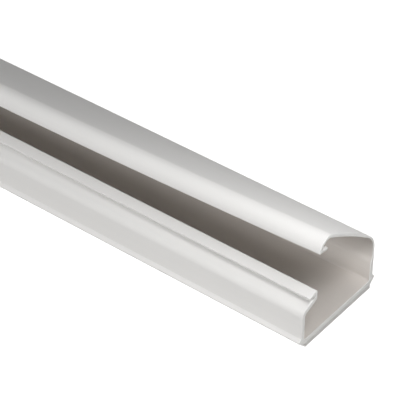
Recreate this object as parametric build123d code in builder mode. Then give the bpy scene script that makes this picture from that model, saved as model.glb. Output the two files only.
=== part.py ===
from build123d import *
import os
from math import acos, cos, degrees, radians, sin, tan

# One-piece latching cable raceway, a rigid PVC extrusion, with the strip of
# foam tape it is supplied with under its base. Millimetres and degrees. X runs
# along the raceway, Y from the wall with the catch to the wall with the hinge,
# Z up. The tape's underside is at Z = 0 and the photographed cut end is at +X.

# lengths
length = 1000.0          # a stock length
flare_len = 180.0        # over this length the cover stands further and further open

# base and walls
width = 38.0             # over the two walls
wall_t = 1.55
base_t = 1.6
floor_r = 0.8            # inside corners along the floor
foot_out = 1.1           # how far the foot beads stand out of the walls
foot_top = 3.1           # top of a bead above the underside of the base
foot_tip = 2.0           # height of its tip
foot_flat = 0.5          # height of the blunt tip

# foam tape
tape_t = 1.6
tape_w = 34.8
tape_shift = 0.6         # laid a little off the middle

# catch on the short wall
near_h = 12.75           # underside of the base to the first bend
shoulder_deg = 23.0      # slope of the shoulder above level
catch_in = 6.1           # wall's outer face to the outer face of the upright
upright_t = 1.4
catch_h = 18.0           # underside of the base to the crest
strip_w = 4.1            # the strip folded outwards from the crest
strip_deg = 17.0         # its fall
strip_t = 1.05
bend_r = 1.0             # inside radius of the bends

# hinge web
far_h = 9.0              # the full wall ends here and thins into the web
web_taper = 1.6
web_t = 0.7
web_h = 17.5             # the web is upright up to here where the section is plain
web_len = 1.8            # length of its bend there
web_deg = 54.5           # how far it is bent there
cut_web_h = 14.4         # the same three at the photographed cut end
cut_web_len = 7.1
cut_web_deg = 48.7

# cover, lip and barb
cover_t = 1.2
flap_run = 47.2          # underside of the base, up and over, to the nose
cover_deg = 13.6         # slight dome of the cover
nose_r = 3.9             # outside radius where the cover turns down
nose_deg = 49.4
lip_len = 5.35
lip_deg = 62.2           # the lip curves on inwards over that length
lip_t = 1.0
barb_len = 3.9
barb_deg = 89.0          # lip to barb
barb_t = 0.9
tip_r = 0.25             # rounded corners of the barb and the strip
edge_r = 0.2             # rounded corners of the foot beads

half = width / 2
z0 = tape_t                          # underside of the base
zf = z0 + base_t                     # floor
root = z0 + far_h + web_taper - 0.5  # the flap starts inside the wall's top


def polar(p, deg, dist):
    return (p[0] + dist * cos(radians(deg)), p[1] + dist * sin(radians(deg)))


def near(sketch, *points):
    """The sketch's corners at these points."""
    return [v for v in sketch.vertices() for p in points if abs(v.X - p[0]) + abs(v.Y - p[1]) < 1e-4]


class Bend:
    """An arc from p, heading deg, that turns left by turn over its size."""

    def __init__(self, p, deg, size, turn):
        self.deg, self.turn, self.r = deg, turn, size / radians(turn)
        self.mid = polar(p, deg + 90, self.r)
        self.end, self.out_deg = self.at(1, 0), deg + turn

    def at(self, share, depth):
        """The point at a share of the arc and a depth inside it."""
        return polar(self.mid, self.deg - 90 + self.turn * share, self.r - depth)


def cover_face(x, s):
    """Web, cover, lip and barb at x, from plain at s = 0 to the cut end at s = 1."""
    rise = web_h + (cut_web_h - web_h) * s
    size = web_len + (cut_web_len - web_len) * s
    start = (half, z0 + rise)
    web = Bend(start, 90, size, web_deg + (cut_web_deg - web_deg) * s)
    top = Bend(web.end, web.out_deg, flap_run - rise - size, cover_deg)
    nose = Bend(top.end, top.out_deg, nose_r * radians(nose_deg), nose_deg)
    lip = Bend(nose.end, nose.out_deg, lip_len, lip_deg)
    tip, way = lip.end, lip.out_deg + barb_deg
    end_low = polar(tip, way, barb_len)
    end_up = polar(end_low, way + 90, barb_t)
    # where the barb's upper side meets the lip's inner side
    off = (lip.mid[0] - tip[0]) * cos(radians(way + 90)) + (lip.mid[1] - tip[1]) * sin(radians(way + 90))
    back = degrees(acos((barb_t - off) / (lip.r - lip_t)))
    low = (way + 90 + back - lip.deg + 90) % 360 / lip_deg
    notch = lip.at(low, lip_t)
    lean = (cover_t + lip_t) / 2
    with BuildSketch(Plane.YZ.offset(x)) as sk:
        with BuildLine():
            Line((half, root), start)
            ThreePointArc(start, web.at(0.5, 0), web.end)
            ThreePointArc(web.end, top.at(0.5, 0), top.end)
            ThreePointArc(top.end, nose.at(0.5, 0), nose.end)
            ThreePointArc(nose.end, lip.at(0.5, 0), tip)
            Line(tip, end_low)
            Line(end_low, end_up)
            Line(end_up, notch)
            ThreePointArc(notch, lip.at(low / 2, lip_t), lip.at(0, lip_t))
            ThreePointArc(lip.at(0, lip_t), nose.at(0.5, lean), nose.at(0, cover_t))
            ThreePointArc(nose.at(0, cover_t), top.at(0.5, cover_t), web.at(1, web_t))
            ThreePointArc(web.at(1, web_t), web.at(0.5, web_t), web.at(0, web_t))
            Line(web.at(0, web_t), (half - web_t, root))
            Line((half - web_t, root), (half, root))
        make_face()
        fillet(near(sk, end_low, end_up), tip_r)
    return sk.sketch.face()


def body_face(x):
    """Base, both walls, foot beads and the catch."""
    slope, fall = tan(radians(shoulder_deg)), tan(radians(strip_deg))
    y_in = half - wall_t
    up_out = catch_in - half
    up_in = up_out + upright_t
    sink = wall_t / cos(radians(shoulder_deg))
    bend = (-half, z0 + near_h)
    knee = (up_out, bend[1] + catch_in * slope)
    bend_in = (-y_in, bend[1] - sink + wall_t * slope)
    knee_in = (up_in, bend[1] - sink + (up_in + half) * slope)
    crest = (up_in, z0 + catch_h)
    edge = polar(crest, 180 + strip_deg, strip_w)
    edge_low = polar(edge, 270 + strip_deg, strip_t)
    pit = (up_out, crest[1] - upright_t * fall - strip_t / cos(radians(strip_deg)))
    top = z0 + far_h + web_taper
    foot = half + foot_out
    low = foot_tip - foot_flat / 2
    with BuildSketch(Plane.YZ.offset(x)) as sk:
        with BuildLine():
            Polyline(
                (-half, z0 + foot_top), bend, knee, pit, edge_low, edge, crest, knee_in, bend_in,
                (-y_in, zf), (y_in, zf), (y_in, z0 + far_h), (half - web_t, top), (half, top),
                (half, z0 + foot_top), (foot, z0 + low + foot_flat), (foot, z0 + low),
                (foot - low, z0), (low - foot, z0), (-foot, z0 + low),
                (-foot, z0 + low + foot_flat), (-half, z0 + foot_top),
            )
        make_face()
        fillet(near(sk, bend), bend_r + wall_t)
        fillet(near(sk, bend_in, knee_in), bend_r)
        fillet(near(sk, knee, pit), bend_r / 2)
        fillet(near(sk, (-y_in, zf), (y_in, zf)), floor_r)
        fillet(near(sk, crest), strip_t / 2)
        fillet(near(sk, edge, edge_low), tip_r)
        bead = ((foot, z0 + low + foot_flat), (foot, z0 + low), (foot - low, z0))
        fillet(near(sk, *bead, *((-y, z) for y, z in bead)), edge_r)
    return sk.sketch.face()


with BuildPart() as raceway:
    extrude(body_face(-length / 2), amount=length)
    extrude(cover_face(-length / 2, 0.0), amount=length - flare_len)
    places = [i / 6 for i in range(7)]
    loft([cover_face(length / 2 - flare_len * (1 - f), f * f) for f in places])

with BuildPart() as foam_tape:
    with Locations((0, tape_shift, tape_t / 2)):
        Box(length, tape_w, tape_t)

os.makedirs("parts", exist_ok=True)
raceway.part.label = "raceway"
foam_tape.part.label = "foam_tape"
export_step(raceway.part, "parts/raceway.step")
export_step(foam_tape.part, "parts/foam_tape.step")
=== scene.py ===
# %% [markdown]
# This scene dresses a one-piece cable raceway: a white PVC channel with a
# snap-down cover that hangs on a thin bending corner, and a strip of foam
# tape under its base. The solid model is loaded first and never changed. It
# gives the frame: metres, X along the channel, Y from the wall with the catch
# to the wall with the bending corner, Z up, the tape's underside on Z = 0.

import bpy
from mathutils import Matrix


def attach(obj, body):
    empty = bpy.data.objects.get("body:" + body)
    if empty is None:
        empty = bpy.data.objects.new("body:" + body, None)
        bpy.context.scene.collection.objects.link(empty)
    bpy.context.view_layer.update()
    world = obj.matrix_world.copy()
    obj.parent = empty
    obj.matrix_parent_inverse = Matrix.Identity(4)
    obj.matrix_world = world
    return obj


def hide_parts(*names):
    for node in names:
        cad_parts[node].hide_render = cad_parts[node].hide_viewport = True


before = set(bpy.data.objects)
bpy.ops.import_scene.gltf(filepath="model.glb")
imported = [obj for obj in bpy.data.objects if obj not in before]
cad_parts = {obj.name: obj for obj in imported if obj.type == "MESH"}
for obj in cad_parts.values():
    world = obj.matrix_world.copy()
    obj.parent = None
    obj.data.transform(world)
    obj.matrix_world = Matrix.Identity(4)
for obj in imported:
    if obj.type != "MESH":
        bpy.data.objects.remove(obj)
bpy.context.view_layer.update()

# %% Tools used all through
from math import acos, atan2, cos, degrees, pi, radians, sin, tan

import bmesh
import bpy
from mathutils import Euler, Vector

scene = bpy.context.scene
scene.view_settings.view_transform = "Standard"
MM = 0.001


def link(name, data):
    """Puts a new object with this data into the scene."""
    thing = bpy.data.objects.new(name, data)
    scene.collection.objects.link(thing)
    return thing


print("colours are shown as", scene.view_settings.view_transform)

# %% [markdown]
# The photograph was taken with a long lens from above the catch side, looking
# down at about 39 degrees, a little over half a metre from the sawn end. The
# four long edges of the bar run together towards the upper left, and where
# they would meet gives the direction of the view. The rest of the fit is the
# distance, which the narrowing of the bar tells.

# %% Camera at the photograph's place
LOOK_DOWN = 38.66  # degrees below level
LOOK_LEFT = 38.47  # degrees from +Y towards -X
camera = link("camera", bpy.data.cameras.new("camera"))
camera.data.sensor_width = 36.0
camera.data.lens = 148.7
camera.location = (0.7171, -0.3364, 0.3615)
camera.rotation_euler = Euler((radians(90 - LOOK_DOWN), 0, radians(LOOK_LEFT)))
camera.data.clip_start = 0.01
camera.data.clip_end = 60.0
scene.camera = camera
print("lens", camera.data.lens, "mm at", [round(v, 4) for v in camera.location])

# %% [markdown]
# A finish is a small network of nodes. Written node by node it is long and
# hard to read, so one small class wraps a socket, and sums and products of
# such values add the Math nodes. Everything else goes through one method.

# %% Nodes written as sums
class Value:
    """One output of a node. Sums, products and comparisons with it add Math nodes."""

    def __init__(self, net, socket):
        self.net = net
        self.socket = socket

    def math(self, operation, *others, first=None):
        """Adds a Math node for this value and the others, or for first and this value."""
        inputs = ([self] if first is None else [first, self]) + list(others)
        return self.net.add("ShaderNodeMath", {"operation": operation}, dict(enumerate(inputs)))

    def __add__(self, other):
        return self.math("ADD", other)

    __radd__ = __add__

    def __sub__(self, other):
        return self.math("SUBTRACT", other)

    def __rsub__(self, other):
        return self.math("SUBTRACT", first=other)

    def __mul__(self, other):
        return self.math("MULTIPLY", other)

    __rmul__ = __mul__

    def __gt__(self, other):
        return self.math("GREATER_THAN", other)

    def __lt__(self, other):
        return self.math("LESS_THAN", other)

    def size(self):
        """The value without its sign."""
        return self.math("ABSOLUTE")

    def least(self, other):
        """The smaller of the two."""
        return self.math("MINIMUM", other)


# %% Node trees
class Net:
    """The node tree of a material or of the world, emptied and then filled again."""

    def __init__(self, holder):
        holder.use_nodes = True
        self.tree = holder.node_tree
        self.tree.nodes.clear()

    def add(self, kind, settings=None, sockets=None, out=0):
        """Adds one node: its settings first, then the values or links of its sockets."""
        node = self.tree.nodes.new(kind)
        for name, value in (settings or {}).items():
            setattr(node, name, value)
        for key, value in (sockets or {}).items():
            if isinstance(value, Value):
                self.tree.links.new(value.socket, node.inputs[key])
            else:
                node.inputs[key].default_value = value
        return Value(self, node.outputs[out]) if node.outputs else None

    def pick(self, value, name):
        """Another output of the same node."""
        return Value(self, value.socket.node.outputs[name])

    def split(self, vector):
        """The X, Y and Z of a vector."""
        xyz = self.add("ShaderNodeSeparateXYZ", None, {0: vector})
        return [Value(self, socket) for socket in xyz.socket.node.outputs]

    def blend(self, share, one, two):
        """Colour one where share is 0 and colour two where it is 1."""
        return self.add("ShaderNodeMix", {"data_type": "RGBA"}, {0: share, 6: one, 7: two}, out=2)

    def noise(self, here, scale, stretch, detail, rough):
        """Noise with scale features in a metre, stretched by a factor on each axis."""
        moved = self.add("ShaderNodeMapping", None, {"Vector": here, "Scale": stretch})
        sockets = {"Vector": moved, "Scale": scale, "Detail": detail, "Roughness": rough}
        return self.add("ShaderNodeTexNoise", None, sockets)

    def seen(self):
        """1 for what the camera and the reflections show, 0 for the light that reaches a surface."""
        path = self.add("ShaderNodeLightPath")
        rays = path + self.pick(path, "Is Glossy Ray") + self.pick(path, "Is Transmission Ray")
        return rays.least(1.0)


print("node helper ready")

# %% [markdown]
# The room is as plain as it can be: a wide pale floor and a white surround.
# What the camera and the reflections see of the world is plain white, while
# the light that it gives to the object stays low, so that the lamps do the
# modelling. The floor glows for the camera and for the reflections in the
# same way, on top of the light that falls on it, so it looks nearly white
# and still shows the object's shadow.

# %% White surround
AIR = 0.03  # the part of plain white that reaches the object from all round
world = bpy.data.worlds.new("studio")
scene.world = world
net = Net(world)
dim = net.add("ShaderNodeBackground", None, {"Color": (1.0, 0.985, 0.96, 1), "Strength": AIR})
white = net.add("ShaderNodeBackground", None, {"Color": (1, 1, 1, 1), "Strength": 1.0})
mixed = net.add("ShaderNodeMixShader", None, {0: net.seen(), 1: dim, 2: white})
net.add("ShaderNodeOutputWorld", None, {"Surface": mixed})
print("surround lights at", AIR)

# %% Pale floor
FLOOR_RADIUS = 14.0  # metres
FLOOR_DROP = 0.0003  # the tape stands clear of it, so the two faces don't fight
FLOOR_GLOW = 0.92  # how bright it looks by itself, where 1 is plain white
bm = bmesh.new()
bmesh.ops.create_circle(bm, cap_ends=True, segments=96, radius=FLOOR_RADIUS)
mesh = bpy.data.meshes.new("floor")
bm.to_mesh(mesh)
bm.free()
floor = link("floor", mesh)
floor.location = (0, 0, -FLOOR_DROP)
paint = bpy.data.materials.new("pale_floor")
net = Net(paint)
matt = net.add("ShaderNodeBsdfDiffuse", None, {"Color": (0.75, 0.742, 0.73, 1)})
glow = net.add("ShaderNodeEmission", None, {"Color": (1, 1, 1, 1), "Strength": FLOOR_GLOW})
both = net.add("ShaderNodeAddShader", None, {0: matt, 1: glow})
mixed = net.add("ShaderNodeMixShader", None, {0: net.seen(), 1: matt, 2: both})
net.add("ShaderNodeOutputMaterial", None, {"Surface": mixed})
mesh.materials.append(paint)
print("floor is", round(floor.dimensions.x, 1), "m across")

# %% [markdown]
# A lamp's power is chosen from the light that should arrive: a white surface
# that faces a lamp at distance d looks plain white when the lamp gives
# pi * pi * d * d watts. The share below is the part of that light, so the
# lamps can be compared with each other and with the photograph. There the
# cover is bright at the sawn end and fades quickly along the bar, as it does
# under a small lamp close above that end, helped by a second one a little
# further off. A broad lamp in front lights the side with the catch, low
# enough to leave the bottom of the channel dark, and a weak one fills in
# beside it. One lamp is nearly level with the bar, off its sawn end, and
# reaches little but the sawn faces. The last three stand behind the bar and
# over its far half, which the photograph doesn't show, so that it is lit in
# the other views too.

# %% Soft lamps
# what the lamps aim at: the sawn end, the middle and a place in the far half
END = Vector((0.5, 0.0, 0.02))
MIDDLE = Vector((0.0, 0.0, 0.02))
FAR = Vector((-0.25, 0.0, 0.02))


def soft_lamp(name, aim, side, up, distance, size, share):
    """A round lamp seen from its aim at an angle from -Y towards +X, and so many degrees up."""
    level = cos(radians(up))
    direction = Vector((sin(radians(side)) * level, -cos(radians(side)) * level, sin(radians(up))))
    lamp = link(name, bpy.data.lights.new(name, "AREA"))
    lamp.data.shape = "DISK"
    lamp.data.size = size
    lamp.data.energy = share * (pi * distance) ** 2
    lamp.visible_camera = False
    lamp.location = aim + direction * distance
    lamp.rotation_mode = "QUATERNION"
    lamp.rotation_quaternion = direction.to_track_quat("Z", "Y")
    print(name, "gives", round(lamp.data.energy, 2), "W")


soft_lamp("overhead", END, 118, 79, 0.13, 0.1, 0.44)
soft_lamp("key", END, 60, 63, 0.28, 0.12, 0.34)
soft_lamp("front", END, -30, 26, 2.5, 0.7, 0.45)
soft_lamp("side", END, -60, 30, 2.5, 1.2, 0.08)
soft_lamp("end", END, 85, 1, 2.5, 0.4, 0.17)
soft_lamp("behind", MIDDLE, 180, 8, 0.3, 0.1, 0.22)
soft_lamp("back", FAR, 180, 8, 0.45, 0.12, 0.36)
soft_lamp("far", FAR, 180, 80, 0.3, 0.35, 0.4)

# %% [markdown]
# The channel is one extrusion, so its section is the whole design. The real
# one is pushed through a die. A profile swept along a curve would do for a
# plain bar, but this cover stands further open towards the sawn end, so the
# outline is drawn afresh at a row of places along X. A pen draws it: a
# straight run extrudes the last point, and a bend spins it round a centre.
# Each drawing has the same number of points, so the skin is bridged from
# loop to loop, and the long plain stretch is one step of it.

# %% The pen
STEP = 9.0  # degrees of turn in one step of a rounded corner


class Pen:
    """Draws a closed outline in the plane across X, in millimetres."""

    def __init__(self, bm, x, start):
        self.bm = bm
        self.x = x
        self.at = Vector(start)
        self.sides = len(bm.edges)
        self.first = bm.verts.new((x, *start))
        self.tip = self.first

    def run(self, point):
        """A straight line to a point."""
        self.tip = bmesh.ops.extrude_vert_indiv(self.bm, verts=[self.tip])["verts"][0]
        self.at = Vector(point)
        self.tip.co = (self.x, *point)

    def spin(self, centre, turn, steps):
        """An arc round a centre."""
        made = bmesh.ops.spin(self.bm, geom=[self.tip], cent=(self.x, *centre), axis=(1, 0, 0),
                              angle=turn, steps=steps, use_duplicate=False)
        self.tip = next(g for g in made["geom_last"] if isinstance(g, bmesh.types.BMVert))
        self.at = Vector(self.tip.co[1:])

    def through(self, mid, end, steps):
        """An arc from here through mid to end."""
        a, b, c = self.at, Vector(mid) - self.at, Vector(end) - self.at
        centre = a + Vector((c.y * b.length_squared - b.y * c.length_squared,
                             b.x * c.length_squared - c.x * b.length_squared)) / (2 * b.cross(c))
        arm, last = a - centre, Vector(end) - centre
        turn = atan2(arm.cross(last), arm.dot(last))
        self.spin(centre, turn, steps)

    def corner(self, point, r, toward):
        """Runs to a corner and turns there towards the next point, rounded to radius r."""
        p = Vector(point)
        go, leave = (p - self.at).normalized(), (Vector(toward) - p).normalized()
        turn = atan2(go.cross(leave), go.dot(leave))
        side = Vector((-go.y, go.x)) * (1 if turn > 0 else -1)
        start = p - go * r * tan(abs(turn) / 2)
        self.run(start)
        self.spin(start + side * r, turn, max(2, round(abs(degrees(turn)) / STEP)))

    def corners(self, row, toward):
        """Goes round a row of corners and radii, from the last one towards a point."""
        after = [point for point, r in row[1:]] + [toward]
        for (point, r), following in zip(row, after):
            self.corner(point, r, following)

    def close(self):
        """Joins the end to the start and returns the edges of the loop."""
        self.bm.edges.new((self.tip, self.first))
        return list(self.bm.edges)[self.sides:]


print("pen ready, one step per", STEP, "degrees")

# %% [markdown]
# These are the section's own sizes in millimetres and degrees, the same as in
# the solid model: a base with a bead along each foot, a short wall that bends
# in to the catch, a tall wall that thins into a web, and the cover that
# swings on that web, with its lip and barb. Sawn through, the end springs
# open a little, so the web bends lower and more gently there.

# %% Sizes of the base and the catch
length = 1000.0
flare_len = 180.0         # over this length the cover stands further and further open
width = 38.0              # over the two walls
wall_t = 1.55
base_t = 1.6
floor_r = 0.8             # inside corners along the floor
foot_out = 1.1            # how far the foot beads stand out of the walls
foot_top = 3.1            # top of a bead above the underside of the base
foot_tip = 2.0            # height of its tip
foot_flat = 0.5           # height of the blunt tip
tape_t = 1.6
tape_w = 34.8
tape_shift = 0.6          # laid a little off the middle
near_h = 12.75            # underside of the base to the first bend
shoulder_deg = 23.0
catch_in = 6.1            # wall's outer face to the outer face of the upright
upright_t = 1.4
catch_h = 18.0            # underside of the base to the crest
strip_w = 4.1             # the strip folded outwards from the crest
strip_deg = 17.0          # its fall
strip_t = 1.05
bend_r = 1.0              # inside radius of the bends
tip_r = 0.25              # rounded corners of the barb and the strip
edge_r = 0.2              # rounded corners of the foot beads and the lip
half = width / 2
z0 = tape_t               # underside of the base
zf = z0 + base_t          # floor
y_in = half - wall_t      # inner faces of the walls
print("walls", width, "mm apart over all, floor at", zf, "mm")

# %% Sizes of the web, cover, lip and barb
far_h = 9.0               # the full wall ends here and thins into the web
web_taper = 1.6
taper_r = 3.2             # softens the top and the foot of the thinning
web_t = 0.7
# each web: how high it starts to bend, how long the bend is, how far it turns
plain_web = (17.5, 1.8, 54.5)
cut_web = (14.4, 7.1, 48.7)
cover_t = 1.2
flap_run = 47.2           # underside of the base, up and over, to the nose
cover_deg = 13.6          # slight dome of the cover
nose_r = 3.9
nose_deg = 49.4
lip_len = 5.35
lip_deg = 62.2
lip_t = 1.0
lip_kept = 0.95           # the share of the lip that is drawn before its rounded tip
barb_len = 3.9
barb_deg = 89.0           # lip to barb
barb_t = 0.9
print("cover runs", flap_run, "mm up and over to its nose")


# %% Bends of the cover
def polar(p, deg, dist):
    """The point at this angle and distance from p."""
    return Vector((p[0] + dist * cos(radians(deg)), p[1] + dist * sin(radians(deg))))


class Bend:
    """An arc from p, heading deg, that turns left by turn over its size."""

    def __init__(self, p, deg, size, turn):
        self.start = p
        self.deg = deg
        self.turn = turn
        self.r = size / radians(turn)
        self.mid = polar(p, deg + 90, self.r)
        self.end = self.at(1, 0)
        self.out_deg = deg + turn

    def at(self, share, depth):
        """The point at a share of the arc and a depth inside it."""
        return polar(self.mid, self.deg - 90 + self.turn * share, self.r - depth)


def cover_bends(s):
    """Web, cover, nose and lip, from plain at s = 0 to the sawn end at s = 1."""
    rise, size, turn = (a + (b - a) * s for a, b in zip(plain_web, cut_web))
    web = Bend((half, z0 + rise), 90, size, turn)
    top = Bend(web.end, web.out_deg, flap_run - rise - size, cover_deg)
    nose = Bend(top.end, top.out_deg, nose_r * radians(nose_deg), nose_deg)
    lip = Bend(nose.end, nose.out_deg, lip_len, lip_deg)
    return web, top, nose, lip


def barb_points(lip):
    """The barb's two outer corners, and the share of the lip where its upper side starts."""
    way = lip.out_deg + barb_deg
    low_end = polar(lip.end, way, barb_len)
    up_end = polar(low_end, way + 90, barb_t)
    off = (lip.mid - lip.end).dot(polar((0, 0), way + 90, 1))
    back = degrees(acos((barb_t - off) / (lip.r - lip_t)))
    share = (way + 90 + back - lip.deg + 90) % 360 / lip_deg
    return low_end, up_end, share


print("cover bends at the sawn end:", [round(arc.turn, 1) for arc in cover_bends(1)], "degrees")

# %% Corners of the walls and the catch
slope = tan(radians(shoulder_deg))
fall = tan(radians(strip_deg))
up_out = catch_in - half
up_in = up_out + upright_t
bend = (-half, z0 + near_h)
knee = (up_out, bend[1] + catch_in * slope)
sunk = bend[1] - wall_t / cos(radians(shoulder_deg))
bend_in = (-y_in, sunk + wall_t * slope)
knee_in = (up_in, sunk + (up_in + half) * slope)
crest = (up_in, z0 + catch_h)
edge = polar(crest, 180 + strip_deg, strip_w)
edge_low = polar(edge, 270 + strip_deg, strip_t)
pit = (up_out, crest[1] - upright_t * fall - strip_t / cos(radians(strip_deg)))
thin_top = (half - web_t, z0 + far_h + web_taper)
thin_foot = (y_in, z0 + far_h)
inside_corners = [(thin_top, taper_r), (thin_foot, taper_r), ((y_in, zf), floor_r),
                  ((-y_in, zf), floor_r), (bend_in, bend_r), (knee_in, bend_r)]
catch_corners = [(crest, strip_t / 2), (edge, tip_r), (edge_low, tip_r), (pit, bend_r / 2),
                 (knee, bend_r / 2), (bend, bend_r + wall_t)]


def bead_corners(way):
    """The foot bead at +Y for way 1 and at -Y for way -1, from its underside up."""
    foot = half + foot_out
    low = foot_tip - foot_flat / 2
    points = [(foot - low, z0), (foot, z0 + low), (foot, z0 + low + foot_flat), (half, z0 + foot_top)]
    return [((way * y, z), edge_r) for y, z in points]


print("catch stands", round(crest[1] - zf, 2), "mm above the floor")

# %% [markdown]
# The outline goes once round the section against the clock, seen from the
# sawn end: along the underside, up the tall wall, over the cover and round
# its barb, back along the inside, over the catch and down the short wall.
# What lies inside the channel is marked on the points themselves, because the
# inner faces get painted shade, a darker and warmer colour, and a duller
# finish than the outer ones, and two faces of a thin wall can't be told apart
# by their place alone.

# %% The outline at one place
def outline(bm, x, s, inner):
    """The closed section at x, from plain at s = 0 to the sawn end at s = 1.

    The number that ends each arc is its count of steps.
    """
    web, top, nose, lip = cover_bends(s)
    low_end, up_end, share = barb_points(lip)
    pen = Pen(bm, x, (0, z0))
    pen.corners(bead_corners(1), web.start)
    pen.run(web.start)
    for arc, steps in ((web, 9), (top, 9), (nose, 10)):
        pen.spin(arc.mid, radians(arc.turn), steps)
    pen.spin(lip.mid, radians(lip.turn * lip_kept), 10)
    notch = lip.at(share, lip_t)
    pen.corners([(lip.end, edge_r), (low_end, tip_r), (up_end, tip_r)], notch)
    pen.run(notch)
    inside_from = len(bm.verts)
    pen.through(lip.at(share / 2, lip_t), lip.at(0, lip_t), 8)
    pen.through(nose.at(0.5, (cover_t + lip_t) / 2), nose.at(0, cover_t), 6)
    pen.through(top.at(0.5, cover_t), web.at(1, web_t), 9)
    pen.through(web.at(0.5, web_t), web.at(0, web_t), 7)
    pen.corners(inside_corners, crest)
    inside_to = len(bm.verts)
    near_bead = bead_corners(-1)[::-1]
    pen.corners(catch_corners, near_bead[0][0])
    pen.corners(near_bead, (0, z0))
    sides = pen.close()
    for vert in list(bm.verts)[inside_from:inside_to]:
        vert[inner] = 1.0
    return sides


# %% The channel's skin
FLARE_STEPS = 18
bm = bmesh.new()
inner = bm.verts.layers.float.new("inside")
places = [(-length / 2, 0.0)]
for n in range(FLARE_STEPS + 1):
    part = n / FLARE_STEPS
    places.append((length / 2 - flare_len * (1 - part), part ** 2))
loops = [outline(bm, x, s, inner) for x, s in places]
for one, two in zip(loops, loops[1:]):
    bmesh.ops.bridge_loops(bm, edges=one + two)
caps = []
for ends in (loops[0], loops[-1]):
    caps += bmesh.ops.contextual_create(bm, geom=ends)["faces"]
print(len(loops[0]), "points round the section,", len(bm.faces), "faces,", len(caps), "sawn ends")

# %% Break the sawn edges
CRISP = 32  # an edge that turns by more degrees than this stays sharp
saw_break = 0.1
rims = [e for cap in caps for e in cap.edges]
bmesh.ops.bevel(bm, geom=rims, offset=saw_break, offset_type="OFFSET", segments=2, profile=0.5,
                affect="EDGES", material=-1, clamp_overlap=True)
bmesh.ops.recalc_face_normals(bm, faces=bm.faces)
bmesh.ops.scale(bm, verts=bm.verts, vec=(MM, MM, MM))
volume = bm.calc_volume()
mesh = bpy.data.meshes.new("channel")
bm.to_mesh(mesh)
bm.free()
for face in mesh.polygons:
    face.use_smooth = True
mesh.set_sharp_from_angle(angle=radians(CRISP))
channel = link("channel", mesh)
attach(channel, "root")
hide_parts("raceway")
print("the skin holds", round(volume * 1e6, 1), "cubic centimetres")

# %% [markdown]
# The foam tape is knife-cut from a sheet and stuck on before the bar is
# packed, so its sides are straight but slightly hollow at half height, where
# the soft foam gives way under the knife. It starts from a cube, is cut level
# at three heights, and the middle edges of its long sides are drawn in.

# %% Foam tape
cut_heights = (0.25, tape_t / 2, 1.35)
hollow = 0.16  # how far the sides give way at half height
bm = bmesh.new()
bmesh.ops.create_cube(bm, size=1.0)
bmesh.ops.scale(bm, verts=bm.verts, vec=(length, tape_w, tape_t))
bmesh.ops.translate(bm, verts=bm.verts, vec=(0, tape_shift, tape_t / 2))
for height in cut_heights:
    everything = bm.verts[:] + bm.edges[:] + bm.faces[:]
    bmesh.ops.bisect_plane(bm, geom=everything, plane_co=(0, 0, height), plane_no=(0, 0, 1))
for vert in bm.verts:
    if abs(vert.co.z - tape_t / 2) < 1e-4:
        vert.co.y += -hollow if vert.co.y > tape_shift else hollow
bmesh.ops.scale(bm, verts=bm.verts, vec=(MM, MM, MM))
mesh = bpy.data.meshes.new("foam_strip")
bm.to_mesh(mesh)
bm.free()
foam_strip = link("foam_strip", mesh)
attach(foam_strip, "root")
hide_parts("foam_tape")
print("foam tape", [round(v * 1000, 1) for v in foam_strip.dimensions], "mm")

# %% [markdown]
# White PVC with chalk in it is bright, slightly warm and only satin. One even
# white would look like card, so noise is stretched along the bar for the
# hair-fine lines that the die leaves, and a slower noise clouds the colour a
# little. The inner faces are duller, and their colour is painted shade: darker
# and a little warmer, for the deep channel that the light hardly reaches. The
# points' own mark tells them apart. The saw leaves a rougher, paler face
# across the ends, which is found by its place along X.

# %% White PVC
SAW_DEPTH = 0.0002  # metres from each end that count as sawn
plastic = bpy.data.materials.new("channel_plastic")
net = Net(plastic)
here = net.pick(net.add("ShaderNodeTexCoord"), "Object")
sawn = net.split(here)[0].size() > length * MM / 2 - SAW_DEPTH
inside = net.pick(net.add("ShaderNodeAttribute", {"attribute_name": "inside"}), "Fac")
die_lines = net.noise(here, 1000.0, (0.003, 1.0, 1.0), 4.0, 0.6)
cloud = net.noise(here, 45.0, (0.25, 1.0, 1.0), 2.0, 0.5)
saw_marks = net.noise(here, 900.0, (1.0, 0.12, 1.0), 3.0, 0.6)
# painted shade: the inner faces are coloured darker and warmer, as the channel's shade
skin = net.blend(inside, (0.86, 0.852, 0.838, 1), (0.72, 0.682, 0.645, 1))
shade = 0.985 + (cloud - 0.5) * 0.05 + (die_lines - 0.5) * 0.03
toned = net.add("ShaderNodeVectorMath", {"operation": "SCALE"}, {0: skin, "Scale": shade})
colour = net.blend(sawn, toned, (0.92, 0.915, 0.9, 1))
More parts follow.
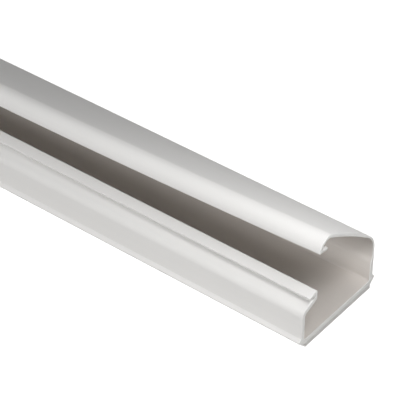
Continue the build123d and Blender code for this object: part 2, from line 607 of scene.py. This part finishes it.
gloss = 0.6 + (die_lines - 0.5) * 0.16 + (cloud - 0.5) * 0.08 + inside * 0.12 + sawn * 0.14
relief = die_lines * (1 - sawn) + saw_marks * sawn * 1.2
bump = net.add("ShaderNodeBump", None, {"Strength": 0.35, "Distance": 0.00009, "Height": relief})
shader = net.add("ShaderNodeBsdfPrincipled", None, {
    "Base Color": colour, "Roughness": gloss, "Normal": bump, "IOR": 1.5, "Specular IOR Level": 0.12})
net.add("ShaderNodeOutputMaterial", None, {"Surface": shader})
channel.data.materials.append(plastic)
print("white PVC has", len(net.tree.nodes), "nodes")

# %% [markdown]
# The foam shows only its cut sides, where the cells are open; their hollows
# are painted a little darker, as shade. Its underside keeps the release paper
# until the channel is stuck up: waxed, smoother, yellower and faintly mottled
# by its fibres. The paper is thinner than a tenth of a millimetre, so it is a
# finish on the lowest faces and not a piece of its own.

# %% Foam and its release paper
PAPER = 0.00008  # metres from the underside that count as paper
foam = bpy.data.materials.new("tape_foam")
net = Net(foam)
here = net.pick(net.add("ShaderNodeTexCoord"), "Object")
paper = net.split(here)[2] < PAPER
cells = net.add("ShaderNodeTexVoronoi", {"feature": "F1"}, {"Vector": here, "Scale": 2600.0})
fibres = net.noise(here, 420.0, (0.35, 1.0, 1.0), 5.0, 0.65)
# painted shade: each foam cell is coloured darker towards its hollow middle
pale = net.blend(cells * 1.2, (0.70, 0.69, 0.67, 1), (0.80, 0.79, 0.78, 1))
liner = net.blend((fibres - 0.3) * 2.5, (0.77, 0.745, 0.665, 1), (0.87, 0.855, 0.8, 1))
colour = net.blend(paper, pale, liner)
gloss = 0.9 - paper * 0.45 + (fibres - 0.5) * 0.2
relief = cells * (1 - paper) + fibres * paper * 0.3
bump = net.add("ShaderNodeBump", None, {"Strength": 0.8, "Distance": 0.00015, "Height": relief})
shader = net.add("ShaderNodeBsdfPrincipled", None, {
    "Base Color": colour, "Roughness": gloss, "Normal": bump, "Specular IOR Level": 0.25})
net.add("ShaderNodeOutputMaterial", None, {"Surface": shader})
foam_strip.data.materials.append(foam)
print("foam has", len(net.tree.nodes), "nodes")
